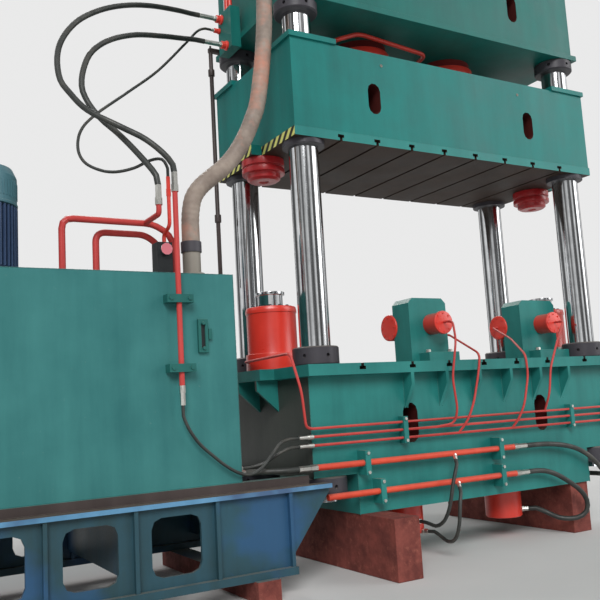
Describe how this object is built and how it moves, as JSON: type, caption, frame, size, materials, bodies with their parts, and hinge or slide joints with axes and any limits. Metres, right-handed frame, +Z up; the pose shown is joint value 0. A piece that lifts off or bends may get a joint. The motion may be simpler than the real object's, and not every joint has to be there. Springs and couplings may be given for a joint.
{
  "type": "hydraulic press",
  "caption": "Column-guided hydraulic press with T-slotted table and slide, end buffers, and an oil tank with pump motor on a frame beside it, joined by pipes and hoses.",
  "frame": {"origin": "on the floor, under the middle of the whole machine's length and width", "axes": "+X along the machine from the power unit to the press, +Y from the front to the back, +Z up"},
  "size_m": [7.6, 2.5, 7.1977],
  "materials": {
    "press_green": "satin paint",
    "tank_green": "satin paint, dusty",
    "frame_blue": "satin paint, worn",
    "column_chrome": "hard chrome, ground",
    "rod_chrome": "hard chrome, ground",
    "fitting_steel": "zinc plated",
    "cylinder_red": "gloss paint",
    "shade_red": "gloss paint",
    "pipe_red": "gloss paint",
    "pipe_orange": "gloss paint",
    "rust_red": "primer and rust",
    "hose_rubber": "matte",
    "suction_grey": "dusty",
    "motor_navy": "satin paint",
    "motor_teal": "satin paint",
    "gauge": "clear over dark"
  },
  "bodies": {
    "root": {"base": "press_green", "base_pipework": "pipe_red", "buffer_cylinder_left": "cylinder_red", "buffer_cylinder_right": "cylinder_red", "clamp_block_left": "press_green", "clamp_block_right": "press_green", "column_back_left": "column_chrome", "column_back_right": "column_chrome", "column_front_left": "column_chrome", "column_front_right": "column_chrome", "crown": "press_green", "crown_manifold": "cylinder_red", "ejector_cylinder_left": "cylinder_red", "ejector_cylinder_right": "cylinder_red", "front_cylinder_left": "cylinder_red", "front_cylinder_right": "cylinder_red", "hose_ejector_lower": "hose_rubber", "hose_ejector_upper": "hose_rubber", "hose_loop_inner": "hose_rubber", "hose_loop_outer": "hose_rubber", "hose_loop_slim": "hose_rubber", "hose_right_lower": "hose_rubber", "hose_right_upper": "hose_rubber", "hose_tank_front": "hose_rubber", "hose_tank_side": "hose_rubber", "hose_thick_left": "hose_rubber", "level_gauge": "gauge", "main_cylinder_left": "shade_red", "main_cylinder_right": "shade_red", "motor_fan_cover": "motor_teal", "oil_tank": "tank_green", "power_frame": "frame_blue", "prefill_valves": "fitting_steel", "pump_motor": "motor_navy", "side_cylinder_left": "cylinder_red", "side_cylinder_right": "cylinder_red", "stroke_rod": "fitting_steel", "suction_hose": "suction_grey", "support_beam_left": "rust_red", "support_beam_right": "rust_red", "tank_front_pipe": "cylinder_red", "tank_pipe_long": "cylinder_red", "tank_pipe_short": "cylinder_red", "thick_pipe_lower": "pipe_orange", "thick_pipe_upper": "pipe_orange", "under_crown_pipe": "pipe_red", "valve_block": "fitting_steel"},
    "slide": {"slide": "press_green", "strike_pad_left": "cylinder_red", "strike_pad_right": "cylinder_red", "ram_left": "rod_chrome", "ram_right": "rod_chrome"},
    "buffer_plunger_left": {"buffer_plunger_left": "rod_chrome"},
    "buffer_plunger_right": {"buffer_plunger_right": "rod_chrome"},
    "ejector_rod_left": {"ejector_rod_left": "rod_chrome"},
    "ejector_rod_right": {"ejector_rod_right": "rod_chrome"},
    "side_rod_left": {"side_rod_left": "rod_chrome"},
    "side_rod_right": {"side_rod_right": "rod_chrome"}
  },
  "joints": [
    {"name": "slide_stroke", "type": "slide", "parent": "root", "child": "slide", "axis": [0, 0, 1], "range_m": [-1.1, 0.1]},
    {"name": "buffer_left", "type": "slide", "parent": "root", "child": "buffer_plunger_left", "axis": [0, 0, 1], "range_m": [-0.11, 0]},
    {"name": "buffer_right", "type": "slide", "parent": "root", "child": "buffer_plunger_right", "axis": [0, 0, 1], "range_m": [-0.11, 0]},
    {"name": "ejector_left", "type": "slide", "parent": "root", "child": "ejector_rod_left", "axis": [0, 0, 1], "range_m": [0, 0.2]},
    {"name": "ejector_right", "type": "slide", "parent": "root", "child": "ejector_rod_right", "axis": [0, 0, 1], "range_m": [0, 0.2]},
    {"name": "side_rod_left", "type": "slide", "parent": "root", "child": "side_rod_left", "axis": [1, 0, 0], "range_m": [0, 0.15]},
    {"name": "side_rod_right", "type": "slide", "parent": "root", "child": "side_rod_right", "axis": [1, 0, 0], "range_m": [0, 0.15]}
  ]
}
